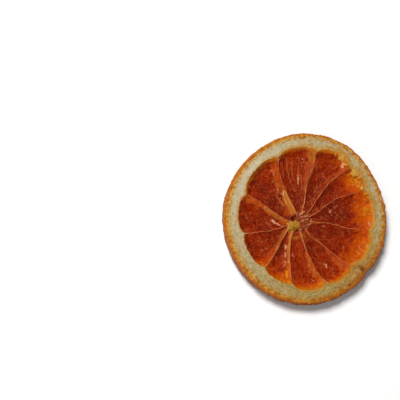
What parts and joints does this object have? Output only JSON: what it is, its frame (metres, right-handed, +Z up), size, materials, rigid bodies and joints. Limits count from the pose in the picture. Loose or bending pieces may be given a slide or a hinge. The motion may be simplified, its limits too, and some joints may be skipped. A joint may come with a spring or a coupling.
{
  "type": "dried orange slice",
  "caption": "Round slice of orange dried to a thin disc: a raised ring of peel round sunken, glossy pulp segments that meet at a wrinkled core.",
  "frame": {"origin": "middle of the bounding box, at the bottom, on the surface that the slice lies on", "axes": "+Z up through the thickness of the slice; +X towards the picture's right and +Y towards its top, with the slice as it lies there"},
  "size_m": [0.0596, 0.0618, 0.0054],
  "materials": {
    "dried_orange": "dried pulp, glossy and translucent, in a matt peel"
  },
  "bodies": {
    "root": {"orange_slice": "dried_orange"}
  },
  "joints": []
}
